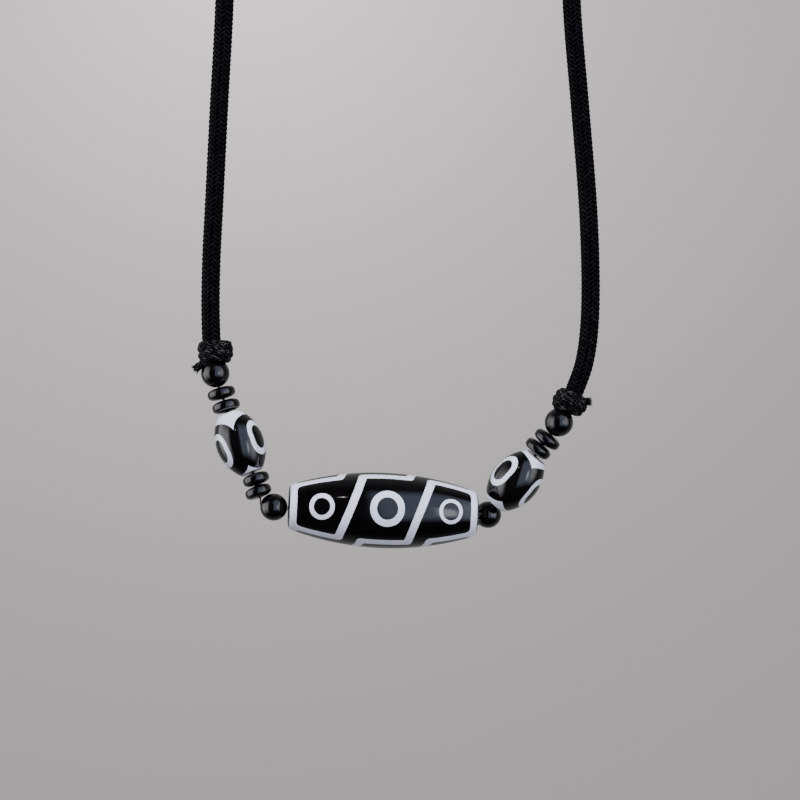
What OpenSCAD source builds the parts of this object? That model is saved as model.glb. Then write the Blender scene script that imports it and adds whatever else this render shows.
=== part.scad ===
// Necklace of patterned agate beads on a braided neck cord, hanging from the nape.
// X runs along the long bead, Y points back towards the nape, Z points up.
// The origin is the underside of the cord where it lies on the nape. All sizes are millimetres.

/* [Neck cord] */
// Diameter of the braided neck cord
cord_d = 4; // [3:0.1:4.4]
// Diameter of the thin cord that the knots are tied from
knot_strand_d = 1.7; // [1.4:0.1:1.9]

/* [Thread] */
// Diameter of the thread that the beads are strung on
thread_d = 0.5; // [0.4:0.05:0.5]
// Diameter of the hole through every bead
bore_d = 1.4; // [1.3:0.1:1.8]

/* [Long nine-eye bead] */
// Length of the long bead
long_bead_len = 39.6; // [36:0.1:39.7]
// Largest diameter of the long bead, at mid-length
long_bead_d = 15.8; // [13:0.1:16.4]
// Radius of the arc that its side follows from end to end
long_bead_side_r = 60; // [50:1:80]
// Diameter of its flat ends
long_bead_end_d = 7.8; // [6:0.1:8.2]

/* [Three-eye beads] */
// Length of each three-eye bead
eye_bead_len = 13.4; // [12:0.1:13.5]
// Largest diameter of each three-eye bead
eye_bead_d = 10.1; // [9:0.1:10.6]
// Radius of the arc that its side follows from end to end
eye_bead_side_r = 9.5; // [9:0.5:14]
// Diameter of its flat ends
eye_bead_end_d = 4.4; // [4:0.1:4.8]

/* [Round beads] */
// Diameter of the two round beads under the knots
upper_round_d = 6; // [5.4:0.1:6]
// Diameter of the two round beads beside the long bead
lower_round_d = 5.7; // [5.2:0.1:5.8]

/* [Disc beads] */
// Diameter of the disc beads between a knot and a three-eye bead
upper_disc_d = 5.9; // [5.2:0.1:6.2]
// Diameter of the disc beads between a three-eye bead and a lower round bead
lower_disc_d = 5.6; // [5:0.1:5.8]
// Thickness of every disc bead at its middle
disc_t = 2.5; // [2:0.1:2.5]

/* [Hidden] */
$fn = 96;

// Plane in which the beads hang, in front of the nape
front_y = -62;
// Gap that is left between neighbouring pieces
gap = 0.15;

// Where each bead hangs. Columns: x, y from the front plane, z, slope, turn.
// slope is how far the right-hand end of the bead's axis points up from level, in degrees,
// and turn is how far that end points back, away from the viewer.
LONG          = [-3.3,  -0.6, -224.9,   -2.5,   4];
EYES_LEFT     = [-33.1, -1.2, -210.8,  -67,    -6.4];
EYES_RIGHT    = [24.6,   2.4, -218.8,   49,    -7];
ROUND_LEFT_1  = [-38.4,  0,   -196.2,  -76,     0];
DISC_LEFT_1   = [-37.1, -0.1, -200.4,  -74,    -4];
DISC_LEFT_2   = [-36.1, -0.4, -203.1,  -73,    -6];
DISC_LEFT_3   = [-29.7, -2.2, -218.3,  -71,    -7];
DISC_LEFT_4   = [-29.2, -2.5, -220.9,  -69,    -7];
ROUND_LEFT_2  = [-26,   -2.4, -224.1,  -14,     5];
ROUND_RIGHT_2 = [19,     6.6, -226.2,   61,   -44];
DISC_RIGHT_1  = [29.3,   1,   -212,     52,    -9];
DISC_RIGHT_2  = [31.2,   0.7, -210.05,  53,    -8];
ROUND_RIGHT_1 = [33.6,   0.2, -206.5,   60,    -4];
// Slack thread that goes round the back of the lower right round bead and into it.
// Columns: x, y from the front plane, z.
THREAD_SLACK = [[17.1, 1, -225.6], [16.9, 2.8, -226.3], [16.4, 4.6, -227],
    [16.2, 6.2, -227.7], [16.5, 7.2, -228.1], [17.1, 8.1, -228.3], [17.9, 8.8, -228.2]];

// Knots. Columns: x, y from the front plane, z, lean of the cord to the right in degrees.
KNOT_LEFT  = [-38.4, 0, -191.6, 0];
KNOT_RIGHT = [35.9, 0, -202.3, 21];
// Where the cord's end sits in each knot, from the knot's centre: sideways and up its axis
SEAT_LEFT  = [-0.8, 1.7];
SEAT_RIGHT = [0, 2.1];
// Turns of the thin cord in a knot. Columns: height on the knot's axis, radius,
// tilt about the sideways axis and tilt about the front-to-back axis, in degrees.
KNOT_WRAPS = [
    [-1.1, 2.4,   0,   4],
    [-0.5, 3,     8,  14],
    [0.5,  2.9, -16, -10],
    [0.4,  2.9,  24,   6]];
wrap_steps = 16;
// Diameter of the round core inside the turns
knot_core_d = 5.6;
// How far the thread goes on into a knot, past the round bead under it
thread_hold = 1.6;

// Route of the neck cord's centreline from the left knot over the nape to the right knot
CORD_ROUTE = [
    [-39.2, -62, -189.8], [-39.4, -62, -182], [-39.2, -62, -172], [-38.6, -62, -160],
    [-37.6, -62, -140], [-36.5, -61.5, -118], [-36.2, -59, -92], [-36.6, -54, -68],
    [-37.2, -45, -46], [-37, -33.5, -27], [-34, -21, -13], [-27.5, -10.5, -4.5],
    [-15, -2.6, 0.8], [0, 0, 2], [15, -2.6, 0.8],
    [27.5, -10.5, -4.5], [34, -21, -13], [37, -33.5, -27], [37.2, -45, -46],
    [36.6, -54, -68], [36, -59, -92], [36.3, -61.5, -118], [38, -62, -140],
    [39.6, -62, -160], [40.2, -62, -175], [40, -62, -186], [38.9, -62, -194],
    [36.7, -62, -200.3]];
cord_sides = 10;
// Rings of the cord's tube in each span of the route
cord_steps = 2;
thread_sides = 8;

// Unit vector along v
function unit(v) = v / norm(v);

// Direction of a bead's axis for its slope and turn
function axis_of(row) =
    [cos(row[3]) * cos(row[4]), sin(row[4]), sin(row[3]) * cos(row[4])];

// Centre of a row's piece
function centre_of(row) = [row[0], front_y + row[1], row[2]];

// The two mouths of a bead's hole
function mouths(row, len) = [centre_of(row) - axis_of(row) * len / 2,
    centre_of(row) + axis_of(row) * len / 2];

// Point of a Catmull-Rom curve through the middle two of four points, t from 0 to 1
function curve_point(a, b, c, d, t) =
    ((2 * b) + (c - a) * t + (2 * a - 5 * b + 4 * c - d) * t * t
        + (3 * b - a - 3 * c + d) * t * t * t) / 2;

// A smooth line through the points of a route, with some steps in each span
function smooth_line(p, steps) = let(n = len(p)) [
    for (i = [0 : n - 2], s = [0 : steps - 1])
        curve_point(p[max(i - 1, 0)], p[i], p[i + 1], p[min(i + 2, n - 1)], s / steps),
    p[n - 1]];

// Direction of a line at its point i
function along(p, i) = unit(p[min(i + 1, len(p) - 1)] - p[max(i - 1, 0)]);

// Side vectors of a line, one for each point, carried along it without twisting
function sides_of(p, first) = [
    for (i = 0, s = unit(cross(along(p, 0), first)); i < len(p);
        i = i + 1, s = i < len(p) ? unit(s - along(p, i) * (s * along(p, i))) : s) s];

// Tube of diameter d round a line
module tube(p, d, count) {
    n = len(p);
    side = sides_of(p, [0, 1, 0]);
    points = [for (i = [0 : n - 1], k = [0 : count - 1])
        let(other = cross(along(p, i), side[i]), a = 360 * k / count)
        p[i] + d / 2 * (cos(a) * side[i] + sin(a) * other)];
    walls = [for (i = [0 : n - 2], k = [0 : count - 1])
        let(m = (k + 1) % count)
        [i * count + k, (i + 1) * count + k, (i + 1) * count + m, i * count + m]];
    ends = [[for (k = [0 : count - 1]) k],
        [for (k = [count - 1 : -1 : 0]) (n - 1) * count + k]];
    polyhedron(points = points, faces = concat(walls, ends), convexity = 6);
}

// Puts a bead that is modelled along Z at its row's place and slope
module hang(row) {
    a = axis_of(row);
    translate(centre_of(row))
        rotate([0, acos(a[2]), atan2(a[1], a[0])])
            children();
}

// Drilled barrel along Z: an arc for its side, flat ends and a 45 degree edge between them
module barrel(len, d, side_r, end_d) {
    h = len / 2;
    f = end_d / 2;
    b = bore_d / 2;
    rotate_extrude()
        intersection() {
            translate([d / 2 - side_r, 0]) circle(side_r, $fn = 360);
            polygon([[b, -h], [f, -h], [f + h, 0], [f, h], [b, h]]);
        }
}

// Drilled ball
module round_bead(d) {
    difference() {
        sphere(d = d);
        cylinder(d = bore_d, h = 2 * d, center = true);
    }
}

// Drilled disc with a round rim and faces that slope down to it
module disc_bead(d) {
    b = bore_d / 2;
    t = disc_t / 2;
    rim = 0.45 * disc_t;
    rim_x = d / 2 - rim;
    rotate_extrude() {
        polygon([[b, -t], [d / 5, -t], [rim_x, -0.95 * rim],
            [rim_x, 0.95 * rim], [d / 5, t], [b, t]]);
        translate([rim_x, 0]) circle(rim, $fn = 48);
    }
}

// One bead of a strand of the thin cord
module strand_ball(at) {
    translate(at) sphere(d = knot_strand_d, $fn = 8);
}

// One turn of the thin cord round a knot, of radius r at height z and tilted
module wrap(z, r, tilt, turn) {
    translate([0, 0, z])
        rotate([tilt, turn, 0])
            for (i = [0 : wrap_steps - 1])
                hull() {
                    strand_ball(round_at(i, r));
                    strand_ball(round_at(i + 1, r));
                }
}

// Point i of a turn of radius r
function round_at(i, r) = r * [cos(360 * i / wrap_steps), sin(360 * i / wrap_steps), 0];

// A cut end of the thin cord, from one point to another
module tail(from, to) {
    hull() {
        strand_ball(from);
        strand_ball(to);
    }
}

// Body of a knot: a round core with turns of the thin cord lying over it
module knot_body() {
    sphere(d = knot_core_d, $fn = 24);
    for (w = KNOT_WRAPS)
        wrap(w[0], w[1], w[2], w[3]);
}

// A knot at its place, hollowed where the cord's end, the round bead and the thread sit.
// way is -1 where the bead's axis points away from the knot, and 1 where it points to it.
module seated_knot(row, seat, ball_row, way) {
    difference() {
        translate(centre_of(row)) rotate([0, row[3], 0])
            difference() {
                union() {
                    knot_body();
                    children();
                }
                translate([seat[0], 0, seat[1] - gap])
                    cylinder(d = cord_d + 2 * gap, h = cord_d);
            }
        hang(ball_row) {
            sphere(d = upper_round_d + 2 * gap);
            rotate([way < 0 ? 180 : 0, 0, 0])
                cylinder(d = bore_d, h = upper_round_d / 2 + thread_hold + gap, $fn = 48);
        }
    }
}

// The thread's end in a knot
function thread_end(ball_row, way) =
    centre_of(ball_row) + way * axis_of(ball_row) * (upper_round_d / 2 + thread_hold);

module neck_cord() {
    color("#17171b") tube(smooth_line(CORD_ROUTE, cord_steps), cord_d, cord_sides);
}

module bead_thread() {
    path = concat(
        [thread_end(ROUND_LEFT_1, -1)],
        mouths(ROUND_LEFT_1, upper_round_d),
        mouths(DISC_LEFT_1, disc_t), mouths(DISC_LEFT_2, disc_t),
        mouths(EYES_LEFT, eye_bead_len),
        mouths(DISC_LEFT_3, disc_t), mouths(DISC_LEFT_4, disc_t),
        mouths(ROUND_LEFT_2, lower_round_d),
        mouths(LONG, long_bead_len),
        [for (p = THREAD_SLACK) p + [0, front_y, 0]],
        mouths(ROUND_RIGHT_2, lower_round_d),
        mouths(EYES_RIGHT, eye_bead_len),
        mouths(DISC_RIGHT_1, disc_t), mouths(DISC_RIGHT_2, disc_t),
        mouths(ROUND_RIGHT_1, upper_round_d),
        [thread_end(ROUND_RIGHT_1, 1)]);
    color("#202024") tube(path, thread_d, thread_sides);
}

module knot_left() {
    color("#141417")
        seated_knot(KNOT_LEFT, SEAT_LEFT, ROUND_LEFT_1, -1) {
            tail([-2.4, -0.4, -1.6], [-4.3, -0.8, -3.2]);
            tail([2.6, -0.8, 0], [2.9, -1, 2.1]);
        }
}

module knot_right() {
    color("#141417")
        seated_knot(KNOT_RIGHT, SEAT_RIGHT, ROUND_RIGHT_1, 1)
            tail([2.2, -0.8, 0.8], [3.2, -0.9, 1.4]);
}

module nine_eye_bead() {
    color("#d4d7e0") hang(LONG)
        barrel(long_bead_len, long_bead_d, long_bead_side_r, long_bead_end_d);
}

// A three-eye bead at its row's place
module three_eye_bead(row) {
    color("#3a3a40") hang(row)
        barrel(eye_bead_len, eye_bead_d, eye_bead_side_r, eye_bead_end_d);
}

// A black round bead at its row's place
module black_round(row, d) {
    color("#0d0d0f") hang(row) round_bead(d);
}

// A black disc bead at its row's place
module black_disc(row, d) {
    color("#19191c") hang(row) disc_bead(d);
}

neck_cord();
bead_thread();
knot_left();
knot_right();
nine_eye_bead();
three_eye_bead(EYES_LEFT);  // three_eye_bead_left
three_eye_bead(EYES_RIGHT);  // three_eye_bead_right
black_round(ROUND_LEFT_1, upper_round_d);  // round_bead_left_upper
black_round(ROUND_LEFT_2, lower_round_d);  // round_bead_left_lower
black_round(ROUND_RIGHT_2, lower_round_d);  // round_bead_right_lower
black_round(ROUND_RIGHT_1, upper_round_d);  // round_bead_right_upper
black_disc(DISC_LEFT_1, upper_disc_d);  // disc_bead_left_1
black_disc(DISC_LEFT_2, upper_disc_d);  // disc_bead_left_2
black_disc(DISC_LEFT_3, lower_disc_d);  // disc_bead_left_3
black_disc(DISC_LEFT_4, lower_disc_d);  // disc_bead_left_4
black_disc(DISC_RIGHT_1, upper_disc_d);  // disc_bead_right_1
black_disc(DISC_RIGHT_2, upper_disc_d);  // disc_bead_right_2
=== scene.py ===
import math
import random

import bpy
from bpy.props import FloatProperty, FloatVectorProperty, IntProperty, PointerProperty
from mathutils import Matrix, Vector


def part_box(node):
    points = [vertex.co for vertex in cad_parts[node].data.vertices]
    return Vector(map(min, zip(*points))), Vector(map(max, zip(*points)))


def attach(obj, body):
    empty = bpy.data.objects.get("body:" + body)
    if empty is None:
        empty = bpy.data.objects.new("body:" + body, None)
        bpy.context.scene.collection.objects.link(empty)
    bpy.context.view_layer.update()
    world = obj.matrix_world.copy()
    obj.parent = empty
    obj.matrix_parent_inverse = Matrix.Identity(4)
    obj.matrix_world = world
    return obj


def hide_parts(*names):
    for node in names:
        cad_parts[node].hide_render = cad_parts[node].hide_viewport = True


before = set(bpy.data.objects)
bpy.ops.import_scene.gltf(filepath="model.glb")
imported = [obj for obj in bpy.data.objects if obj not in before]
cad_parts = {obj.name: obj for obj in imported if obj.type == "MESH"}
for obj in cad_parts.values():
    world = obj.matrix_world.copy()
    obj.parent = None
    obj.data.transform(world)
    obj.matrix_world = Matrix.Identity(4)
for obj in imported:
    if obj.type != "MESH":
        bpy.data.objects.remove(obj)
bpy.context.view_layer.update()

bl_info = {
    "name": "Dzi bead necklace",
    "version": (1, 0, 0),
    "blender": (4, 5, 0),
    "location": "3D View > Sidebar > Necklace",
    "description": "Braided neck cord, knots and patterned agate beads in a plain studio",
    "category": "Object",
}

MM = 0.001
BODY = "root"
THIRD_TURN = 2 * math.pi / 3
# Towards someone who faces the beads
VIEWER = Vector((0, -1, 0))

# Route of the neck cord's centreline from the left knot over the nape to the right knot, in mm
CORD_ROUTE = [
    (-39.2, -62, -189.8), (-39.4, -62, -182), (-39.2, -62, -172), (-38.6, -62, -160),
    (-37.6, -62, -140), (-36.5, -61.5, -118), (-36.2, -59, -92), (-36.6, -54, -68),
    (-37.2, -45, -46), (-37, -33.5, -27), (-34, -21, -13), (-27.5, -10.5, -4.5),
    (-15, -2.6, 0.8), (0, 0, 2), (15, -2.6, 0.8),
    (27.5, -10.5, -4.5), (34, -21, -13), (37, -33.5, -27), (37.2, -45, -46),
    (36.6, -54, -68), (36, -59, -92), (36.3, -61.5, -118), (38, -62, -140),
    (39.6, -62, -160), (40.2, -62, -175), (40, -62, -186), (38.9, -62, -194),
    (36.7, -62, -200.3)]

# Slope of each bead's axis from level, right-hand end up, and how far that end turns back,
# in degrees
BEAD_AXES = {
    "nine_eye_bead": (-2.5, 4),
    "three_eye_bead_left": (-67, -6.4),
    "three_eye_bead_right": (49, -7),
    "round_bead_left_upper": (-76, 0),
    "round_bead_left_lower": (-14, 5),
    "round_bead_right_lower": (61, -44),
    "round_bead_right_upper": (60, -4),
    "disc_bead_left_1": (-74, -4),
    "disc_bead_left_2": (-73, -6),
    "disc_bead_left_3": (-71, -7),
    "disc_bead_left_4": (-69, -7),
    "disc_bead_right_1": (52, -9),
    "disc_bead_right_2": (53, -8),
}
# How far each patterned bead is rolled on its axis, its front side upwards, in degrees
BEAD_ROLLS = {"nine_eye_bead": 6.3, "three_eye_bead_left": 2, "three_eye_bead_right": -9}

# Three-eye beads: how far the eyes and the white ends' scallops sit along the bead, in mm,
# and how narrow the scallops are
EYE_BEADS = [("three_eye_bead_left", 0.45, 0.72, 0.98), ("three_eye_bead_right", 0.35, 0.0, 0.86)]

# Soft windows that the stone mirrors: azimuth to the right of the viewer's line and elevation,
# half width and half height, all in degrees and each half with how soft its edges are as a share
# of it, then strength and tint
ROOM_WINDOWS = [
    ((36, 18), (32, 0.15), (40, 0.3), 1.35, (0.62, 0.74, 1.0, 1)),
    ((35, 2), (4, 0.7), (12, 0.7), 3.6, (0.97, 0.97, 1.0, 1)),
    ((62, 8), (16, 0.7), (24, 0.7), 1.5, (1.0, 0.97, 0.94, 1)),
    ((-76, 3), (30, 0.3), (30, 0.7), 2.8, (0.95, 0.95, 1.0, 1)),
    ((-11.8, 42), (0.9, 0.7), (1.3, 0.7), 22.0, (1.0, 0.98, 0.95, 1)),
]

# Knots: centre in mm, and lean of the cord to the right in degrees
KNOTS = {"knot_left": ((-38.4, -62, -191.6), 0), "knot_right": ((35.9, -62, -202.3), 21)}
# Turns of thin cord in a knot: height, radius and how far it arches up in front, in mm, and its
# tilt to the right in degrees
KNOT_TURNS = {
    "knot_left": [(1.4, 2.7, 0.2, -2), (0.6, 3.0, 0.8, 3), (-0.3, 3.1, 1.1, 8),
                  (-1.1, 3.0, 1.0, -4), (-1.75, 2.6, 0.5, 0)],
    "knot_right": [(1.4, 2.5, 0.2, 4), (0.55, 2.9, 0.9, 6), (-0.3, 3.05, 1.3, -4),
                   (-1.1, 2.95, 1.2, -8), (-1.75, 2.4, 0.5, -6)],
}
# A turn starts and ends at the back of its knot, where its ends don't show, in degrees from the
# right-hand side over the back
TURN_START, TURN_END, TURN_STEPS = 95, 457, 72
# Cut ends of the thin cord in each knot, from the knot's centre, in mm
KNOT_TAILS = {
    "knot_left": [[(-1.0, -1.8, -1.4), (-2.5, -1.2, -2.5), (-4.0, -1.0, -3.7)],
                  [(-0.6, -2.7, 0.4), (1.2, -3.0, -0.3), (2.6, -2.2, -0.7), (3.0, -1.4, 0.3),
                   (2.7, -1.2, 1.4)]],
    "knot_right": [[(0.6, -2.2, 1.0), (2.0, -1.3, 1.0), (3.6, -0.9, 1.6)]],
}

# A strand of braid. Its rise is a share of the cord's diameter, its inset and thickness are shares
# of the rise, its floor is one of the thickness, and its spread one of the room that it has
STRAND_RISE, STRAND_INSET, STRAND_THICK = 0.038, 1.9, 1.25
STRAND_FLOOR, STRAND_SPREAD = 0.35, 0.52
# How far a pattern's edges wander and how soft they are, in mm
EDGE_WANDER, EDGE_SOFTNESS = 0.14, 0.05
BLACK_CLOUD = [0.0036, 0.0032, 0.0038, 1]
POLISHED = "_polished"
# Painted pool of light on the backdrop: where its glow is brightest, to the right and up, in
# metres, how far that glow reaches and what is left of it further off
GLOW_RIGHT, GLOW_UP, GLOW_REACH, GLOW_REST = -0.22, 0.5, 0.55, 0.25


class CordSettings(bpy.types.PropertyGroup):
    """Sizes and colours of the braided cords"""
    diameter: FloatProperty(
        name="Neck cord", description="Diameter of the braided neck cord",
        default=4 * MM, min=3 * MM, max=5 * MM, unit="LENGTH")
    thin_diameter: FloatProperty(
        name="Knot cord", description="Diameter of the thin cord in the knots",
        default=1.7 * MM, min=1.2 * MM, max=2.2 * MM, unit="LENGTH")
    pitch: FloatProperty(
        name="Pitch", description="Length in which a strand goes once round the neck cord",
        default=9.6 * MM, min=6 * MM, max=16 * MM, unit="LENGTH")
    colour: FloatVectorProperty(
        name="Cord colour", description="Colour of the yarn", subtype="COLOR",
        size=4, min=0, max=1, default=(0.0008, 0.0008, 0.0012, 1))
    knot_colour: FloatVectorProperty(
        name="Knot colour", description="Colour of the thin cord's yarn", subtype="COLOR",
        size=4, min=0, max=1, default=(0.002, 0.002, 0.0022, 1))


class BeadSettings(bpy.types.PropertyGroup):
    """Sizes and colours of the beads"""
    bore: FloatProperty(
        name="Hole", description="Diameter of the hole through every bead",
        default=1.4 * MM, min=1 * MM, max=2 * MM, unit="LENGTH")
    long_length: FloatProperty(
        name="Long bead length", description="Length of the nine-eye bead",
        default=39.6 * MM, min=36 * MM, max=42 * MM, unit="LENGTH")
    long_diameter: FloatProperty(
        name="Long bead diameter", description="Largest diameter of the nine-eye bead",
        default=15.8 * MM, min=13 * MM, max=17 * MM, unit="LENGTH")
    eye_length: FloatProperty(
        name="Three-eye bead length", description="Length of the three-eye beads",
        default=13.4 * MM, min=12 * MM, max=14 * MM, unit="LENGTH")
    eye_diameter: FloatProperty(
        name="Three-eye bead diameter", description="Largest diameter of the three-eye beads",
        default=10.1 * MM, min=9 * MM, max=11 * MM, unit="LENGTH")
    disc_thickness: FloatProperty(
        name="Disc thickness", description="Thickness of the disc beads at their middle",
        default=2.5 * MM, min=2 * MM, max=2.6 * MM, unit="LENGTH")
    sides: IntProperty(
        name="Sides", description="Number of sides of a turned bead", default=96, min=24, max=128)
    black: FloatVectorProperty(
        name="Black agate", description="Colour of the black stone", subtype="COLOR",
        size=4, min=0, max=1, default=(0.0016, 0.0013, 0.0016, 1))
    white: FloatVectorProperty(
        name="White pattern", description="Colour of the white lines", subtype="COLOR",
        size=4, min=0, max=1, default=(0.75, 0.80, 1.0, 1))


class StudioSettings(bpy.types.PropertyGroup):
    """Backdrop and light"""
    backdrop: FloatVectorProperty(
        name="Backdrop", description="Colour of the lit backdrop", subtype="COLOR",
        size=4, min=0, max=1, default=(1.0, 0.955, 0.95, 1))
    glow: FloatProperty(
        name="Backdrop glow", description="How brightly the backdrop is lit behind the necklace",
        default=1.15, min=0, max=4)
    key_power: FloatProperty(
        name="Key light", description="Power of the main light in watts",
        default=19.0, min=0, max=200)


def deselect_everything():
    for thing in list(bpy.context.selected_objects):
        thing.select_set(False)


def make_active(piece):
    deselect_everything()
    piece.select_set(True)
    bpy.context.view_layer.objects.active = piece


def finish_piece(piece, material, nodes=()):
    """Puts a piece's place in its mesh, gives it its material and lets it ride on the frame."""
    make_active(piece)
    bpy.ops.object.transform_apply(location=True, rotation=True, scale=True)
    piece.data.materials.clear()
    piece.data.materials.append(material)
    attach(piece, BODY)
    if nodes:
        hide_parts(*nodes)


def join_pieces(pieces, name):
    deselect_everything()
    for piece in pieces:
        piece.select_set(True)
    bpy.context.view_layer.objects.active = pieces[0]
    bpy.ops.object.join()
    pieces[0].name = name
    pieces[0].data.name = name
    return pieces[0]


# Shader building

def feed(tree, socket, value):
    """Links a socket to another one, or gives it a value."""
    if isinstance(value, bpy.types.NodeSocket):
        tree.links.new(value, socket)
    else:
        socket.default_value = value


def number(tree, operation, *values):
    """The result of a Math node with these values or sockets."""
    node = tree.nodes.new("ShaderNodeMath")
    node.operation = operation
    for socket, value in zip(node.inputs, values):
        feed(tree, socket, value)
    return node.outputs[0]


def product_sum(tree, a, b, c):
    return number(tree, "MULTIPLY_ADD", a, b, c)


def hypotenuse(tree, a, b):
    squares = product_sum(tree, a, a, number(tree, "MULTIPLY", b, b))
    return number(tree, "SQRT", squares)


def new_group(name, inputs, outputs):
    """An empty node group with its sockets. Each is a name, a kind and a start value or None."""
    group = bpy.data.node_groups.new(name, "ShaderNodeTree")
    for in_out, sockets in (("INPUT", inputs), ("OUTPUT", outputs)):
        for label, kind, value in sockets:
            socket = group.interface.new_socket(
                label, in_out=in_out, socket_type="NodeSocket" + kind)
            if value is not None:
                socket.default_value = value
    return group, group.nodes.new("NodeGroupInput"), group.nodes.new("NodeGroupOutput")


def add_group(tree, group, **values):
    node = tree.nodes.new("ShaderNodeGroup")
    node.node_tree = group
    for label, value in values.items():
        feed(tree, node.inputs[label.replace("_", " ").capitalize()], value)
    return node


def noise(tree, vector, scale, detail=3.0, roughness=0.5):
    node = tree.nodes.new("ShaderNodeTexNoise")
    tree.links.new(vector, node.inputs["Vector"])
    feed(tree, node.inputs["Scale"], scale)
    node.inputs["Detail"].default_value = detail
    node.inputs["Roughness"].default_value = roughness
    return node.outputs["Fac"]


def mix_colour(tree, factor, a, b, blend="MIX"):
    """Mixes two colours. With ADD it adds the second as many times as the factor says."""
    node = tree.nodes.new("ShaderNodeMix")
    node.data_type = "RGBA"
    node.blend_type = blend
    node.clamp_factor = blend == "MIX"
    tree.links.new(factor, node.inputs[0])
    feed(tree, node.inputs[6], a)
    feed(tree, node.inputs[7], b)
    return node.outputs[2]


def span(tree, value, low, high, out_low, out_high, shape="LINEAR"):
    """Maps a value from one span to another, held at its ends."""
    node = tree.nodes.new("ShaderNodeMapRange")
    node.interpolation_type = shape
    tree.links.new(value, node.inputs["Value"])
    for label, amount in (("From Min", low), ("From Max", high),
                          ("To Min", out_low), ("To Max", out_high)):
        node.inputs[label].default_value = amount
    return node.outputs["Result"]


def new_material(name):
    material = bpy.data.materials.new(name)
    material.use_nodes = True
    tree = material.node_tree
    return material, tree, tree.nodes["Principled BSDF"]


def object_position(tree):
    return tree.nodes.new("ShaderNodeTexCoord").outputs["Object"]


def attribute(tree, name):
    node = tree.nodes.new("ShaderNodeAttribute")
    node.attribute_name = name
    return node


def bump(tree, height, strength, distance, shader):
    node = tree.nodes.new("ShaderNodeBump")
    node.inputs["Strength"].default_value = strength
    node.inputs["Distance"].default_value = distance
    tree.links.new(height, node.inputs["Height"])
    tree.links.new(node.outputs["Normal"], shader.inputs["Normal"])


def bead_coordinates(tree, source):
    """From a place in a bead's own space: the place, how far it lies along and from the axis,
    all in mm, and its angle round the axis."""
    scaled = tree.nodes.new("ShaderNodeVectorMath")
    scaled.operation = "SCALE"
    scaled.inputs["Scale"].default_value = 1 / MM
    tree.links.new(source, scaled.inputs[0])
    parts = tree.nodes.new("ShaderNodeSeparateXYZ")
    tree.links.new(scaled.outputs[0], parts.inputs[0])
    front, down, along = parts.outputs
    radius = hypotenuse(tree, front, down)
    angle = number(tree, "ARCTAN2", number(tree, "MULTIPLY", down, -1), front)
    return scaled.outputs[0], along, radius, angle


def thirds(tree, angle):
    """Which third of the bead an angle lies in, and the angle from the middle of that third."""
    third = number(tree, "ROUND", number(tree, "DIVIDE", angle, THIRD_TURN))
    return third, product_sum(tree, third, -THIRD_TURN, angle)


def ring_band(tree, distance, outer, inner):
    """Signed distance to the band between two circles, below 0 in the band."""
    middle = number(tree, "SUBTRACT", distance, (outer + inner) / 2)
    return number(tree, "SUBTRACT", number(tree, "ABSOLUTE", middle), (outer - inner) / 2)


def white_where(tree, distance, wobble):
    """Mask that is 1 where the signed distance is below 0, with a fine soft edge."""
    moved = product_sum(tree, wobble, EDGE_WANDER, distance)
    return span(tree, moved, -EDGE_SOFTNESS, EDGE_SOFTNESS, 1, 0)


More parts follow.
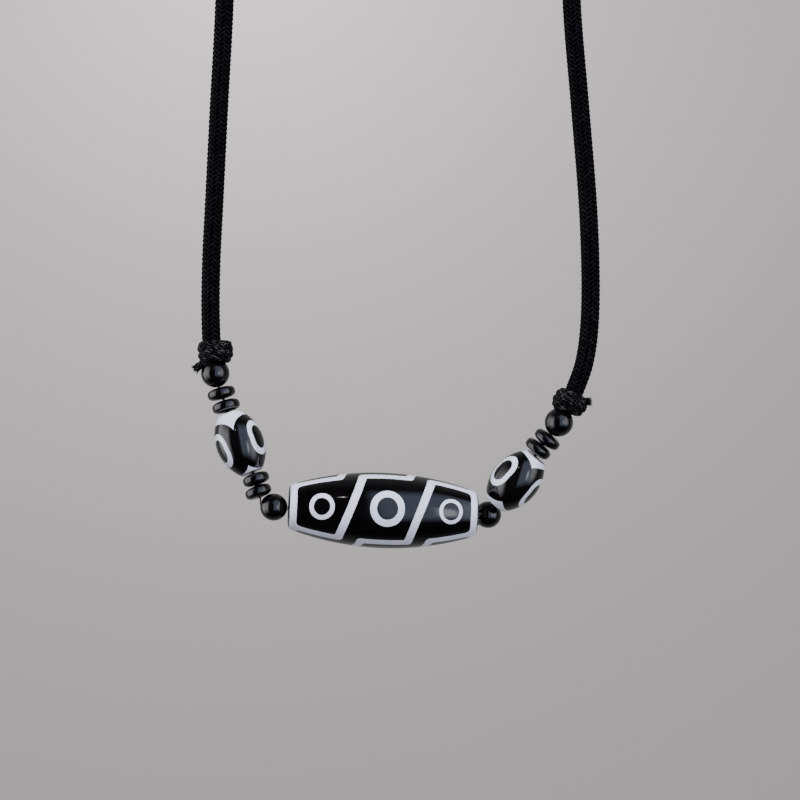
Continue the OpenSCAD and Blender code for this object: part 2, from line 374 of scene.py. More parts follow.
def nine_eye_group():
    """Nine eyes in three rows, slanting lines between them, lines along the bead and end rings."""
    # Each eye's place along the bead and its outer and inner radius, in mm, and its height by width
    eyes = [(-12.95, 2.58, 1.68), (0.48, 3.56, 2.19), (13.75, 2.46, 1.76)]
    tall = 1.08
    # Each slanting line's place along the bead and how far it runs to either side, in mm, and
    # its width across by its width along the bead
    lines = [(-6.96, 1.98), (7.42, 1.95)]
    across_by_along = 0.927
    edge_half, slant_half = 0.86, 0.80
    ring_start, ring_end = 18.05, 19.45
    # How far the lines drift along the bead between its front and its sides
    drift = 0.46
    # The slanting lines of the two rows behind reach this much further than those of the front row
    further = 0.4
    # How round the corners are where lines join each other, and where they join the end rings
    line_corner, ring_corner = 0.5, 1.5
    # Just under nothing, so that both neighbours of the front row count as back rows
    under_nothing = -0.0001
    group, start, end = new_group("Nine eye pattern", [("Vector", "Vector", None)],
                                  [("White", "Float", None)])
    place, along, radius, angle = bead_coordinates(group, start.outputs[0])
    row, phi = thirds(group, angle)
    wobble = number(group, "SUBTRACT", noise(group, place, 0.55, 2), 0.5)
    slid = product_sum(group, number(group, "SINE", angle), -drift, along)
    round_arc = number(group, "MULTIPLY", phi, radius)
    bands = []
    for at, outer, inner in eyes:
        reach = hypotenuse(group, number(group, "SUBTRACT", along, at),
                           number(group, "DIVIDE", round_arc, tall))
        bands.append(ring_band(group, reach, outer, inner))
    own = product_sum(group, number(group, "ABSOLUTE", row), further, 1)
    not_front = number(group, "GREATER_THAN", number(group, "MULTIPLY", row, phi), under_nothing)
    next_row = product_sum(group, not_front, further, 1)
    lean = number(group, "DIVIDE", number(group, "SINE", phi), math.sin(math.pi / 3))
    lean = number(group, "MULTIPLY", lean, own)
    half_break = number(group, "MULTIPLY", number(group, "ADD", own, next_row), 0.5)
    break_middle = number(group, "MULTIPLY", number(group, "SUBTRACT", own, next_row), 0.5)
    gaps = []
    for middle, run in lines:
        off = number(group, "SUBTRACT", slid, middle)
        across = product_sum(group, lean, -run, off)
        square = number(group, "MULTIPLY", number(group, "ABSOLUTE", across), across_by_along)
        bands.append(number(group, "SUBTRACT", square, slant_half))
        outward = number(group, "MULTIPLY", number(group, "SIGN", phi), off)
        from_middle = number(group, "ABSOLUTE", product_sum(group, break_middle, -run, outward))
        reach = number(group, "MULTIPLY", half_break, run)
        gaps.append(number(group, "SUBTRACT", reach, from_middle))
    gap = number(group, "MAXIMUM", number(group, "MAXIMUM", gaps[0], gaps[1]), 0)
    to_edge = number(group, "SUBTRACT", THIRD_TURN / 2, number(group, "ABSOLUTE", phi))
    edge = hypotenuse(group, number(group, "MULTIPLY", to_edge, radius), gap)
    bands.append(number(group, "SUBTRACT", edge, edge_half))
    bands.append(number(group, "SUBTRACT", ring_start, number(group, "ABSOLUTE", along)))
    nearest = bands[0]
    for band in bands[1:-1]:
        nearest = number(group, "SMOOTH_MIN", nearest, band, line_corner)
    nearest = number(group, "SMOOTH_MIN", nearest, bands[-1], ring_corner)
    beyond = number(group, "SUBTRACT", number(group, "ABSOLUTE", along), ring_end)
    shown = number(group, "MAXIMUM", nearest, beyond)
    group.links.new(white_where(group, shown, wobble), end.inputs[0])
    return group


def three_eye_group():
    """Three long eyes round the middle of a bead, and white ends scalloped between them."""
    # An eye's outer and inner radius and half its straight sides, in mm, and how long its ends are
    outer, inner, straight, stretch = 2.68, 1.65, 0.6, 1.17
    # How far from the middle the white ends start and stop, in mm
    cap_reach, cap_end = 5.8, 6.6
    group, start, end = new_group(
        "Three eye pattern", [("Vector", "Vector", None), ("Eye shift", "Float", 0.0),
                              ("Cap shift", "Float", 0.0), ("Cap narrowing", "Float", 1.0)],
        [("White", "Float", None)])
    place, along, radius, angle = bead_coordinates(group, start.outputs[0])
    phi = thirds(group, number(group, "SUBTRACT", angle, THIRD_TURN / 2))[1]
    wobble = number(group, "SUBTRACT", noise(group, place, 0.8, 2), 0.5)
    round_arc = number(group, "MULTIPLY", phi, radius)
    from_eye = number(group, "ABSOLUTE", number(group, "SUBTRACT", along, start.outputs[1]))
    past = number(group, "MAXIMUM", number(group, "SUBTRACT", from_eye, straight), 0)
    reach = hypotenuse(group, number(group, "DIVIDE", past, stretch), round_arc)
    from_cap = number(group, "SUBTRACT", along, start.outputs[2])
    narrowed = number(group, "MULTIPLY", round_arc, start.outputs[3])
    cap = number(group, "SUBTRACT", cap_reach, hypotenuse(group, from_cap, narrowed))
    nearest = number(group, "MINIMUM", ring_band(group, reach, outer, inner), cap)
    beyond = number(group, "SUBTRACT", number(group, "ABSOLUTE", along), cap_end)
    shown = number(group, "MAXIMUM", nearest, beyond)
    group.links.new(white_where(group, shown, wobble), end.inputs[0])
    return group


def stone_group():
    """Clouding of a polished stone: its colour a little lighter and darker, and fine pits."""
    group, start, end = new_group(
        "Polished stone",
        [("Vector", "Vector", None), ("Colour", "Color", (0.5, 0.5, 0.5, 1)),
         ("Cloud", "Color", (0.6, 0.6, 0.6, 1)), ("Scale", "Float", 300.0)],
        [("Colour", "Color", None), ("Roughness", "Float", None), ("Pits", "Float", None)])
    vector, colour, cloud, scale = start.outputs[:4]
    share = span(group, noise(group, vector, scale, 4), 0.35, 0.75, 0, 1)
    group.links.new(mix_colour(group, share, colour, cloud), end.inputs["Colour"])
    smear = noise(group, vector, 900, 2)
    group.links.new(span(group, smear, 0.3, 0.7, 0.07, 0.12), end.inputs["Roughness"])
    group.links.new(noise(group, vector, 2500, 2), end.inputs["Pits"])
    return group


def polished_stone():
    return bpy.data.node_groups.get("Polished stone") or stone_group()


def black_stone(tree, place, beads, scale):
    return add_group(tree, polished_stone(), vector=place, colour=list(beads.black),
                     cloud=BLACK_CLOUD, scale=scale)


def polish(tree, shader, stone_node, colour):
    """Gives a shader the colour, roughness and pits of a stone, under a polish."""
    tree.links.new(colour, shader.inputs["Base Color"])
    tree.links.new(stone_node.outputs["Roughness"], shader.inputs["Roughness"])
    bump(tree, stone_node.outputs["Pits"], 0.03, 0.02 * MM, shader)
    shader.inputs["IOR"].default_value = 1.54
    shader.inputs["Coat Weight"].default_value = 0.25
    shader.inputs["Coat Roughness"].default_value = 0.04


def patterned_agate(name, pattern, beads, **shifts):
    material, tree, shader = new_material(name)
    place = attribute(tree, "bead_space").outputs["Vector"]
    mask = add_group(tree, pattern, vector=place, **shifts).outputs["White"]
    white = list(beads.white)
    duller = [white[0] * 0.88, white[1] * 0.9, white[2] * 0.94, 1]
    milky = add_group(tree, polished_stone(), vector=place, colour=white, cloud=duller, scale=420.0)
    black = black_stone(tree, place, beads, 260.0)
    colour = mix_colour(tree, mask, black.outputs["Colour"], milky.outputs["Colour"])
    polish(tree, shader, black, colour)
    return material


def black_agate(beads):
    material, tree, shader = new_material("Black agate")
    place = attribute(tree, "bead_space").outputs["Vector"]
    black = black_stone(tree, place, beads, 320.0)
    polish(tree, shader, black, black.outputs["Colour"])
    return material


def plain_agate(beads):
    return bpy.data.materials.get("Black agate") or black_agate(beads)


def braided_yarn(name, colour, fibres_across, highlight_times, gloss):
    """Yarn of fine fibres that run along each strand, with a painted highlight: lighter along the
    crest of each strand, in fibres and patches, and painted shade darker towards its sides.
    """
    material, tree, shader = new_material(name)
    strand = attribute(tree, "strand").outputs["Vector"]
    stretched = tree.nodes.new("ShaderNodeMapping")
    # Tufts of fibre along a metre of strand, and how unlike each other the strands are
    tufts, unlike = 0.9 / MM, 7
    stretched.inputs["Scale"].default_value = (tufts, fibres_across, unlike)
    tree.links.new(strand, stretched.inputs["Vector"])
    fibre = noise(tree, stretched.outputs[0], 1.0, 3, 0.6)
    # Patches where the painted highlight is stronger or weaker
    sheen_patches = noise(tree, object_position(tree), 900, 3)
    parts = tree.nodes.new("ShaderNodeSeparateXYZ")
    tree.links.new(strand, parts.inputs[0])
    # Painted highlight: lighter on each strand's crest, painted shade darker towards its sides
    off_crest = number(tree, "ABSOLUTE", number(tree, "SUBTRACT", parts.outputs[1], 0.5))
    crest_highlight = span(tree, off_crest, 0.04, 0.22, 1.15, 0.55)
    light = number(tree, "MULTIPLY", number(tree, "MULTIPLY", fibre, sheen_patches), crest_highlight)
    colour = list(colour)
    # Colour of the painted highlight, this many times lighter than the yarn
    bright = [min(1, channel * highlight_times) for channel in colour[:3]] + [1]
    sheened_colour = mix_colour(tree, span(tree, light, 0.25, 0.44, 0, 1), colour, bright)
    tree.links.new(sheened_colour, shader.inputs["Base Color"])
    tree.links.new(span(tree, fibre, 0.3, 0.7, 0.6, 0.42), shader.inputs["Roughness"])
    shader.inputs["Specular IOR Level"].default_value = gloss
    bump(tree, fibre, 0.5, 0.06 * MM, shader)
    return material


# Cord and braid geometry

def curve_point(a, b, c, d, t):
    """Point of a Catmull-Rom curve through b and c."""
    return ((2 * b) + (c - a) * t + (2 * a - 5 * b + 4 * c - d) * t * t
            + (3 * b - a - 3 * c + d) * t * t * t) / 2


def smooth_line(points, steps):
    last = len(points) - 1
    line = [curve_point(points[max(i - 1, 0)], points[i], points[i + 1], points[min(i + 2, last)],
                        k / steps) for i in range(last) for k in range(steps)]
    return line + [points[last]]


def even_line(points, step):
    """Points a step apart along a line."""
    reached = [0.0]
    for a, b in zip(points, points[1:]):
        reached.append(reached[-1] + (b - a).length)
    count = max(4, round(reached[-1] / step))
    even, i = [], 0
    for k in range(count + 1):
        goal = reached[-1] * k / count
        while i < len(points) - 2 and reached[i + 1] < goal:
            i += 1
        share = (goal - reached[i]) / max(reached[i + 1] - reached[i], 1e-9)
        even.append(points[i].lerp(points[i + 1], share))
    return even


def carried_sides(line):
    """Direction and two side vectors at each point, carried along without twisting."""
    sides, side = [], None
    for i in range(len(line)):
        ahead = (line[min(i + 1, len(line) - 1)] - line[max(i - 1, 0)]).normalized()
        if side is None:
            side = ahead.orthogonal()
        side = (side - ahead * side.dot(ahead)).normalized()
        sides.append((ahead, side, ahead.cross(side)))
    return sides


def ring(at, side, other, radius, turns):
    return [at + (side * math.cos(a) + other * math.sin(a)) * radius for a in turns]


class Braid:
    """Collects the strands of a braided cord, its core and cut fibres, as one mesh."""

    def __init__(self):
        self.points, self.faces, self.strand = [], [], []

    def tube(self, rings, marks):
        """Joins rings of equal size into a closed tube."""
        sides, first = len(rings[0]), len(self.points)
        for ring, mark in zip(rings, marks):
            self.points += ring
            self.strand += mark
        for i in range(len(rings) - 1):
            for k in range(sides):
                m = (k + 1) % sides
                row = first + i * sides
                self.faces.append((row + k, row + sides + k, row + sides + m, row + m))
        last = first + (len(rings) - 1) * sides
        self.faces.append(tuple(range(first, first + sides)))
        self.faces.append(tuple(range(last + sides - 1, last - 1, -1)))

    def core(self, line, radius, sides):
        turns = [2 * math.pi * k / sides for k in range(sides)]
        rings = [ring(at, side, other, radius, turns)
                 for at, (_, side, other) in zip(line, carried_sides(line))]
        self.tube(rings, [[(0, 0, 0)] * sides] * len(rings))

    def strands(self, line, diameter, pitch, count):
        """Half of the strands go round one way and half the other, over two and under two."""
        half = count // 2
        rise = STRAND_RISE * diameter
        middle = diameter / 2 - STRAND_INSET * rise
        wide = STRAND_SPREAD * pitch * math.sin(math.atan(math.pi * diameter / pitch)) / half
        thick = STRAND_THICK * rise
        sides = carried_sides(line)
        length, reached = 0.0, []
        for i in range(len(line)):
            length += (line[i] - line[i - 1]).length if i else 0
            reached.append(length)
        for way in (1, -1):
            for index in range(half):
                rings, marks = [], []
                for at, (ahead, side, other), s in zip(line, sides, reached):
                    angle = way * 2 * math.pi * s / pitch + 2 * math.pi * index / half
                    weave = math.cos(math.pi / 2 * (2 * index + way * count * s / pitch - 0.5))
                    out = side * math.cos(angle) + other * math.sin(angle)
                    round_way = other * math.cos(angle) - side * math.sin(angle)
                    run = (ahead + round_way * way * 2 * math.pi * middle / pitch).normalized()
                    across = run.cross(out)
                    centre = at + out * (middle + way * rise * weave)
                    low = centre - out * thick * STRAND_FLOOR
                    rings.append([low - across * wide, centre + out * thick, low + across * wide])
                    marks.append([(s, (k + 1) / 4, index + 0.5 * way) for k in range(3)])
                self.tube(rings, marks)

    def cut_fibres(self, at, ahead, radius, reach, count, seed):
        """A fuzzy cut end: short fibres that spread out from it."""
        # As shares of the reach, then how far they spread and bend outwards, and their radius
        rooted, shortest, longest = 0.3, 0.6, 1.3
        spread, bend, thickness = 0.9, 0.25, 0.055 * MM
        draw = random.Random(seed)
        side = ahead.orthogonal().normalized()
        other = ahead.cross(side)
        for _ in range(count):
            turn, off = draw.uniform(0, 2 * math.pi), radius * math.sqrt(draw.random())
            out = side * math.cos(turn) + other * math.sin(turn)
            root = at + out * off - ahead * rooted * reach
            way = (ahead + out * draw.uniform(0.0, spread) * off / radius).normalized()
            long = reach * draw.uniform(shortest, longest)
            line = [root, root + way * long * 0.6, root + (way + out * bend).normalized() * long]
            rings = [ring(point, side, other, thickness * (1 - 0.3 * k), (0, 2.1, 4.2))
                     for k, point in enumerate(line)]
            self.tube(rings, [[(0, 0.5, 0)] * 3] * len(rings))

    def piece(self, name):
        mesh = bpy.data.meshes.new(name)
        mesh.from_pydata([tuple(p) for p in self.points], [], self.faces)
        layer = mesh.attributes.new("strand", "FLOAT_VECTOR", "POINT")
        layer.data.foreach_set("vector", [v for mark in self.strand for v in mark])
        piece = bpy.data.objects.new(name, mesh)
        bpy.context.scene.collection.objects.link(piece)
        make_active(piece)
        bpy.ops.object.mode_set(mode="EDIT")
        bpy.ops.mesh.select_all(action="SELECT")
        bpy.ops.mesh.normals_make_consistent(inside=False)
        bpy.ops.object.mode_set(mode="OBJECT")
        bpy.ops.object.shade_smooth()
        return piece


class NECKLACE_OT_camera(bpy.types.Operator):
    """Set the camera at the picture's viewing angle"""
    bl_idname = "necklace.camera"
    bl_label = "Camera"

    def execute(self, context):
        data = bpy.data.cameras.new("picture_camera")
        data.lens = 90
        data.sensor_width = 36
        data.clip_start = 0.01
        camera = bpy.data.objects.new("picture_camera", data)
        camera.location = (0.0003, -0.481, -0.2018)
        camera.rotation_euler = (math.pi / 2, 0, 0)
        context.scene.collection.objects.link(camera)
        context.scene.camera = camera
        return {"FINISHED"}


class NECKLACE_OT_neck_cord(bpy.types.Operator):
    """Braid the neck cord from knot to knot round the nape"""
    bl_idname = "necklace.neck_cord"
    bl_label = "Neck cord"

    def execute(self, context):
        cord = context.scene.necklace_cord
        route = smooth_line([Vector(p) * MM for p in CORD_ROUTE], 24)
        core_step, strand_step = 1.2 * MM, 0.38 * MM
        braid = Braid()
        braid.core(even_line(route, core_step), radius=cord.diameter * 0.36, sides=12)
        braid.strands(even_line(route, strand_step), cord.diameter, cord.pitch, count=20)
        piece = braid.piece("braided_neck_cord")
        # The neck cord's painted highlight is ten times lighter than its yarn
        yarn = braided_yarn("Braided neck cord", cord.colour, fibres_across=9, highlight_times=10,
                            gloss=0.12)
        finish_piece(piece, yarn, ["neck_cord"])
        line = even_line(route, 2 * MM)
        return {"FINISHED"}


class NECKLACE_OT_knots(bpy.types.Operator):
    """Tie the thin braided cord into the two knots, with their cut ends"""
    bl_idname = "necklace.knots"
    bl_label = "Knots"

    def execute(self, context):
        cord = context.scene.necklace_cord
        # The knot cord's painted highlight is 44 times lighter than its yarn
        yarn = braided_yarn("Braided knot cord", cord.knot_colour, fibres_across=7, highlight_times=44,
                            gloss=0.14)
        drawn_tight = 0.84
        angles = [math.radians(TURN_START + (TURN_END - TURN_START) * k / TURN_STEPS)
                  for k in range(TURN_STEPS + 1)]
        for seed, (node, (centre, lean)) in enumerate(KNOTS.items()):
            place = (Matrix.Translation(Vector(centre) * MM)
                     @ Matrix.Rotation(math.radians(lean), 4, "Y"))
            braid = Braid()
            for height, radius, arch, tilt in KNOT_TURNS[node]:
                tilted = place @ Matrix.Rotation(math.radians(tilt), 4, "Y")
                line = [tilted @ (Vector((radius * math.cos(a), radius * math.sin(a),
                                          height + arch * (0.5 - 0.5 * math.sin(a)) ** 2)) * MM)
                        for a in angles]
                self.thin_cord(braid, line, cord.thin_diameter * drawn_tight)
            for k, tail in enumerate(KNOT_TAILS[node]):
                line = smooth_line([place @ (Vector(p) * MM) for p in tail], 8)
                self.thin_cord(braid, line, cord.thin_diameter)
                braid.cut_fibres(line[-1], (line[-1] - line[-2]).normalized(),
                                 radius=cord.thin_diameter * 0.42, reach=0.75 * MM, count=90,
                                 seed=10 * seed + k)
            piece = braid.piece(node + "_braid")
            deselect_everything()
            bpy.ops.mesh.primitive_uv_sphere_add(segments=24, ring_count=16, radius=2.65 * MM,
                                                 location=place @ Vector((0, 0, 0)))
            core = bpy.context.object
            bpy.ops.object.shade_smooth()
            finish_piece(join_pieces([piece, core], node + "_tied"), yarn, [node])
        return {"FINISHED"}

    def thin_cord(self, braid, line, diameter):
        even = even_line(line, 0.22 * MM)
        braid.core(even[::2] + [even[-1]], radius=diameter * 0.34, sides=6)
        braid.strands(even, diameter, pitch=5 * diameter, count=12)


class NECKLACE_OT_thread(bpy.types.Operator):
    """Give the thread through the beads its twisted yarn"""
    bl_idname = "necklace.thread"
    bl_label = "Thread"

    def execute(self, context):
        material, tree, shader = new_material("Twisted thread")
        wave = tree.nodes.new("ShaderNodeTexWave")
        tree.links.new(object_position(tree), wave.inputs["Vector"])
        wave.inputs["Scale"].default_value = 900
        wave.inputs["Distortion"].default_value = 2
        dark, light = (0.01, 0.01, 0.012, 1), (0.035, 0.035, 0.04, 1)
        colour = mix_colour(tree, wave.outputs["Fac"], dark, light)
        tree.links.new(colour, shader.inputs["Base Color"])
        shader.inputs["Roughness"].default_value = 0.5
        bump(tree, wave.outputs["Fac"], 0.4, 0.03 * MM, shader)
        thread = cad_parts["bead_thread"]
        thread.data.materials.clear()
        thread.data.materials.append(material)
        return {"FINISHED"}


def turned(name, profile, sides, hollow):
    """A turned piece: a ring drawn out along a profile of radius and height. A hollow one is
    closed on itself round its hole."""
    deselect_everything()
    radius, height = profile[0]
    bpy.ops.mesh.primitive_circle_add(vertices=sides, radius=radius, location=(0, 0, 0))
    piece = bpy.context.object
    piece.name = name
    piece.data.name = name
    bpy.ops.object.mode_set(mode="EDIT")
    bpy.ops.mesh.select_all(action="SELECT")
    bpy.ops.transform.translate(value=(0, 0, height))
    for next_radius, next_height in profile[1:]:
        bpy.ops.mesh.extrude_edges_move(
            TRANSFORM_OT_translate={"value": (0, 0, next_height - height)})
        grown = next_radius / radius
        bpy.ops.transform.resize(value=(grown, grown, 1), center_override=(0, 0, 0))
        radius, height = next_radius, next_height
    if hollow:
        bpy.ops.mesh.select_all(action="DESELECT")
        bpy.ops.mesh.select_mode(type="EDGE")
        bpy.ops.mesh.select_non_manifold()
        bpy.ops.mesh.bridge_edge_loops()
    bpy.ops.mesh.select_all(action="SELECT")
    bpy.ops.mesh.normals_make_consistent(inside=False)
    bpy.ops.object.mode_set(mode="OBJECT")
    return piece


def arc(centre, radius, start, end, steps):
    """Points of an arc in a profile, from one angle to another in degrees."""
    angles = [math.radians(start + (end - start) * k / steps) for k in range(steps + 1)]
    return [(centre[0] + radius * math.cos(a), centre[1] + radius * math.sin(a)) for a in angles]


def barrel_profile(length, diameter, side_radius, bore, rim, steps):
    """Flat ends, round rims and a side that follows an arc. Half is drawn and then mirrored."""
    half = length / 2
    centre = diameter / 2 - side_radius
    hole_edge = 0.12 * MM
    inner = side_radius - rim
    start_angle = math.degrees(math.asin((half - rim) / inner))
    rim_at = (centre + inner * math.cos(math.radians(start_angle)), half - rim)
    turns = [math.radians(start_angle * k / steps) for k in range(steps)]
    side = [(centre + side_radius * math.cos(a), side_radius * math.sin(a)) for a in turns]
    upper = side + arc(rim_at, rim, start_angle, 90, 8) + [
        (bore / 2 + hole_edge, half), (bore / 2, half - hole_edge)]
    lower = [(r, -h) for r, h in reversed(upper[1:])]
    return lower + upper


def ball_profile(diameter, bore, steps):
    edge = math.degrees(math.acos(bore / diameter))
    return arc((0, 0), diameter / 2, -edge, edge, steps)


def disc_profile(diameter, thickness, bore):
    """Pillow shape: full round sides that flatten towards slightly eased hole edges."""
    power, steps = 2 / 3, 24
    hole_edge = 0.1 * MM
    half, far = thickness / 2, diameter / 2
    upper = [(bore / 2, half - hole_edge)]
    for k in range(steps + 1):
        angle = math.pi / 2 * (1 - k / steps)
        radius, height = far * math.cos(angle) ** power, half * math.sin(angle) ** power
        if radius > bore / 2 + hole_edge:
            upper.append((radius, height))
    lower = [(r, -h) for r, h in upper[:-1]]
    return lower + list(reversed(upper))


def place_bead(piece, node):
    """Keeps the bead's own space for its pattern, then turns it onto its axis at its CAD node."""
    mesh = piece.data
    layer = mesh.attributes.new("bead_space", "FLOAT_VECTOR", "POINT")
    layer.data.foreach_set("vector", [v for vertex in mesh.vertices for v in vertex.co])
    slope, turn = (math.radians(a) for a in BEAD_AXES[node])
    roll = math.radians(BEAD_ROLLS.get(node, 0))
    axis = Vector((math.cos(slope) * math.cos(turn), math.sin(turn),
                   math.sin(slope) * math.cos(turn)))
    front = (VIEWER - axis * VIEWER.dot(axis)).normalized()
    front = front * math.cos(roll) + front.cross(axis) * math.sin(roll)
    low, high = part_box(node)
    matrix = Matrix((front, axis.cross(front), axis)).transposed().to_4x4()
    matrix.translation = (low + high) / 2
    piece.matrix_world = matrix


def copied(piece, name):
    twin = piece.copy()
    twin.data = piece.data.copy()
    twin.name = name
    twin.data.name = name
    bpy.context.scene.collection.objects.link(twin)
    return twin


def set_beads(first, nodes, material):
    """Copies one modelled bead to all its places."""
    make_active(first)
    bpy.ops.object.shade_smooth_by_angle(angle=math.radians(40))
    pieces = [first] + [copied(first, node + POLISHED) for node in nodes[1:]]
    for piece, node in zip(pieces, nodes):
        place_bead(piece, node)
        finish_piece(piece, material, [node])


class NECKLACE_OT_nine_eye_bead(bpy.types.Operator):
    """Turn the long barrel bead with nine eyes"""
    bl_idname = "necklace.nine_eye_bead"
    bl_label = "Nine-eye bead"

    def execute(self, context):
        beads = context.scene.necklace_beads
        profile = barrel_profile(beads.long_length, beads.long_diameter, side_radius=60 * MM,
                                 bore=beads.bore, rim=1.5 * MM, steps=24)
        agate = patterned_agate("Nine-eye agate", nine_eye_group(), beads)
        bead = turned("nine_eye_bead" + POLISHED, profile, beads.sides, hollow=True)
        set_beads(bead, ["nine_eye_bead"], agate)
        return {"FINISHED"}


class NECKLACE_OT_three_eye_beads(bpy.types.Operator):
    """Turn the two short barrel beads with three eyes"""
    bl_idname = "necklace.three_eye_beads"
    bl_label = "Three-eye beads"

    def execute(self, context):
        beads = context.scene.necklace_beads
        profile = barrel_profile(beads.eye_length, beads.eye_diameter, side_radius=9.5 * MM,
                                 bore=beads.bore, rim=0.5 * MM, steps=20)
        pattern = three_eye_group()
        for node, eye_shift, cap_shift, cap_narrowing in EYE_BEADS:
            agate = patterned_agate("Agate of " + node, pattern, beads,
                                    eye_shift=eye_shift, cap_shift=cap_shift,
                                    cap_narrowing=cap_narrowing)
            bead = turned(node + POLISHED, profile, beads.sides, hollow=True)
            set_beads(bead, [node], agate)
        return {"FINISHED"}


class NECKLACE_OT_round_beads(bpy.types.Operator):
    """Turn the four round beads"""
    bl_idname = "necklace.round_beads"
    bl_label = "Round beads"

    def execute(self, context):
        beads = context.scene.necklace_beads
        agate = plain_agate(beads)
        for diameter, nodes in ((6 * MM, ["round_bead_left_upper", "round_bead_right_upper"]),
                                (5.7 * MM, ["round_bead_left_lower", "round_bead_right_lower"])):
            profile = ball_profile(diameter, beads.bore, steps=40)
            bead = turned(nodes[0] + POLISHED, profile, sides=64, hollow=True)
            set_beads(bead, nodes, agate)
        return {"FINISHED"}


class NECKLACE_OT_disc_beads(bpy.types.Operator):
    """Turn the six disc beads"""
    bl_idname = "necklace.disc_beads"
    bl_label = "Disc beads"

    def execute(self, context):
        beads = context.scene.necklace_beads
        agate = plain_agate(beads)
        upper = ["disc_bead_left_1", "disc_bead_left_2", "disc_bead_right_1", "disc_bead_right_2"]
        lower = ["disc_bead_left_3", "disc_bead_left_4"]
        for diameter, nodes in ((5.9 * MM, upper), (5.6 * MM, lower)):
            profile = disc_profile(diameter, beads.disc_thickness, beads.bore)
            bead = turned(nodes[0] + POLISHED, profile, sides=64, hollow=True)
            set_beads(bead, nodes, agate)
        return {"FINISHED"}


def area_light(name, place, aim, size, power):
    data = bpy.data.lights.new(name, "AREA")
    data.shape = "RECTANGLE"
    data.size, data.size_y = size
    data.energy = power
    light = bpy.data.objects.new(name, data)
    light.location = place
    light.rotation_euler = (Vector(aim) - Vector(place)).to_track_quat("-Z", "Y").to_euler()
    bpy.context.scene.collection.objects.link(light)
    return light


def around(distance, azimuth, elevation, aim):
    """A place seen from the aim at this angle to the right of the camera and above it."""
    a, e = math.radians(azimuth), math.radians(elevation)
    way = Vector((math.sin(a) * math.cos(e), -math.cos(a) * math.cos(e), math.sin(e)))
    return Vector(aim) + distance * way


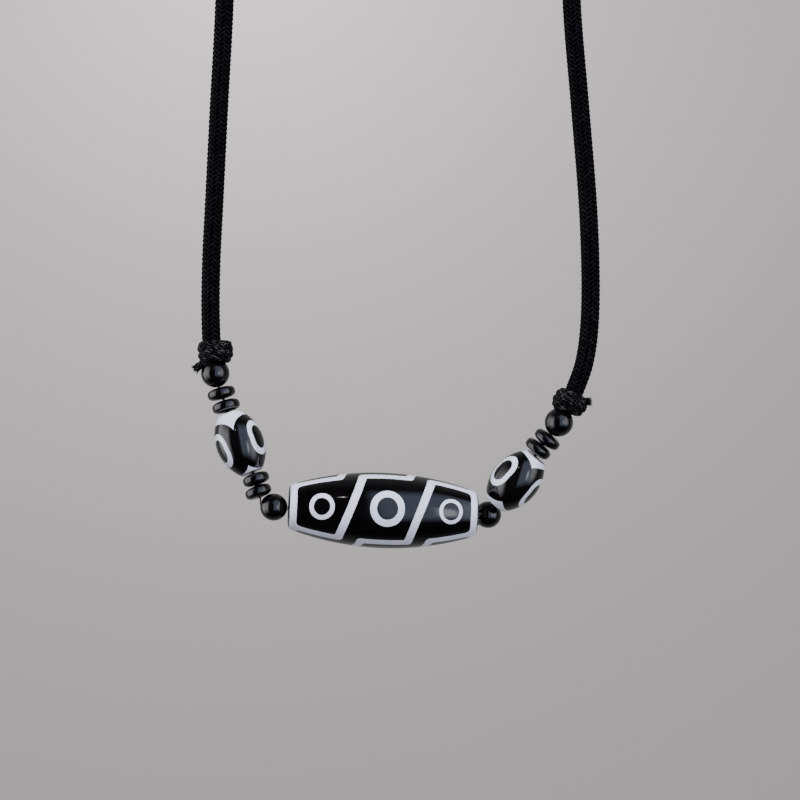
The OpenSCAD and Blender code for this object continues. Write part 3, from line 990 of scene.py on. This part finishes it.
class NECKLACE_OT_studio(bpy.types.Operator):
    """Set the backdrop and the lights"""
    bl_idname = "necklace.studio"
    bl_label = "Studio"

    def execute(self, context):
        studio = context.scene.necklace_studio
        self.backdrop(studio)
        aim, distance = (0, -0.062, -0.215), 1.1
        for name, azimuth, elevation, size, power in (
                ("key_light", -35, 45, 0.7, studio.key_power),
                ("fill_light", 50, 20, 0.8, studio.key_power * 0.5)):
            place = around(distance, azimuth, elevation, aim)
            light = area_light(name, place, aim, (size, size), power)
            light.visible_glossy = False
        self.surroundings(context)
        return {"FINISHED"}

    def backdrop(self, studio):
        """A floor that curves up into a round wall. It glows faintly, so its tone is even, with
        painted light: the glow is brightest in one spot and fades from it.
        """
        floor_z, wall_r, cove_r, wall_top = -1.0, 2.4, 0.9, 2.6
        cove = arc((wall_r - cove_r, floor_z + cove_r), cove_r, -90, 0, 16)
        floor = [(0.02, floor_z), (0.6, floor_z)]
        roof = [(wall_r, wall_top), (0.02, wall_top + 1.2)]
        piece = turned("studio_backdrop", floor + cove + roof, sides=96, hollow=False)
        make_active(piece)
        bpy.ops.object.mode_set(mode="EDIT")
        bpy.ops.mesh.select_all(action="SELECT")
        bpy.ops.mesh.flip_normals()
        bpy.ops.object.mode_set(mode="OBJECT")
        bpy.ops.object.shade_smooth()
        material, tree, shader = new_material("Backdrop paper")
        place = tree.nodes.new("ShaderNodeSeparateXYZ")
        tree.links.new(object_position(tree), place.inputs[0])
        x, _, z = place.outputs
        # Painted pool of light: the glow fades with distance from its brightest spot
        far = hypotenuse(tree, number(tree, "SUBTRACT", x, GLOW_RIGHT),
                         number(tree, "SUBTRACT", z, GLOW_UP))
        fall = number(tree, "POWER", math.e, number(tree, "DIVIDE", far, -GLOW_REACH))
        glow = product_sum(tree, fall, studio.glow, GLOW_REST)
        tree.links.new(glow, shader.inputs["Emission Strength"])
        shader.inputs["Emission Color"].default_value = studio.backdrop
        material.cycles.emission_sampling = "NONE"
        shader.inputs["Base Color"].default_value = (0.12, 0.12, 0.12, 1)
        shader.inputs["Roughness"].default_value = 0.9
        shader.inputs["Specular IOR Level"].default_value = 0.1
        piece.data.materials.clear()
        piece.data.materials.append(material)
        piece.visible_glossy = False

    def surroundings(self, context):
        """What the polished stone mirrors: a dim room with soft windows, paler at the back."""
        world = bpy.data.worlds.new("Studio room")
        context.scene.world = world
        world.use_nodes = True
        tree = world.node_tree
        sky = tree.nodes["Background"]
        direction = tree.nodes.new("ShaderNodeSeparateXYZ")
        outwards = tree.nodes.new("ShaderNodeTexCoord").outputs["Generated"]
        tree.links.new(outwards, direction.inputs[0])
        x, y, z = direction.outputs
        azimuth = number(tree, "ARCTAN2", x, number(tree, "MULTIPLY", y, -1))
        elevation = number(tree, "ARCSINE", z)
        dim = span(tree, y, -0.2, 0.7, 0.012, 0.32)
        colour = mix_colour(tree, dim, (0, 0, 0, 1), (1, 1, 1, 1))
        for at, width, height, strength, tint in ROOM_WINDOWS:
            mask = number(tree, "MULTIPLY", self.soft_step(tree, azimuth, at[0], *width),
                          self.soft_step(tree, elevation, at[1], *height))
            bright = number(tree, "MULTIPLY", mask, strength)
            colour = mix_colour(tree, bright, colour, tint, "ADD")
        tree.links.new(colour, sky.inputs["Color"])

    def soft_step(self, tree, value, middle, half, softness):
        """1 near the middle, falling to 0 around half the width, more gently where it is softer.
        Middle and half width are in degrees."""
        off = number(tree, "ABSOLUTE", number(tree, "SUBTRACT", value, math.radians(middle)))
        return span(tree, off, math.radians(half * (1 - softness)),
                    math.radians(half * (1 + softness)), 1, 0, "SMOOTHSTEP")


class NECKLACE_PT_sidebar(bpy.types.Panel):
    """Steps that build the necklace"""
    bl_idname = "NECKLACE_PT_sidebar"
    bl_label = "Dzi bead necklace"
    bl_space_type = "VIEW_3D"
    bl_region_type = "UI"
    bl_category = "Necklace"

    def draw(self, context):
        for step in STEPS:
            self.layout.operator(step.bl_idname)
        for settings in (context.scene.necklace_cord, context.scene.necklace_beads,
                         context.scene.necklace_studio):
            box = self.layout.box()
            for name in settings.__annotations__:
                box.prop(settings, name)


STEPS = (NECKLACE_OT_camera, NECKLACE_OT_neck_cord, NECKLACE_OT_knots, NECKLACE_OT_thread,
         NECKLACE_OT_nine_eye_bead, NECKLACE_OT_three_eye_beads, NECKLACE_OT_round_beads,
         NECKLACE_OT_disc_beads, NECKLACE_OT_studio)
CLASSES = (CordSettings, BeadSettings, StudioSettings) + STEPS + (NECKLACE_PT_sidebar,)


def register():
    for cls in CLASSES:
        bpy.utils.register_class(cls)
    bpy.types.Scene.necklace_cord = PointerProperty(type=CordSettings)
    bpy.types.Scene.necklace_beads = PointerProperty(type=BeadSettings)
    bpy.types.Scene.necklace_studio = PointerProperty(type=StudioSettings)


def unregister():
    del bpy.types.Scene.necklace_studio
    del bpy.types.Scene.necklace_beads
    del bpy.types.Scene.necklace_cord
    for cls in reversed(CLASSES):
        bpy.utils.unregister_class(cls)


def main():
    register()
    bpy.ops.necklace.camera()
    bpy.ops.necklace.neck_cord()
    bpy.ops.necklace.knots()
    bpy.ops.necklace.thread()
    bpy.ops.necklace.nine_eye_bead()
    bpy.ops.necklace.three_eye_beads()
    bpy.ops.necklace.round_beads()
    bpy.ops.necklace.disc_beads()
    bpy.ops.necklace.studio()


if __name__ == "__main__":
    main()
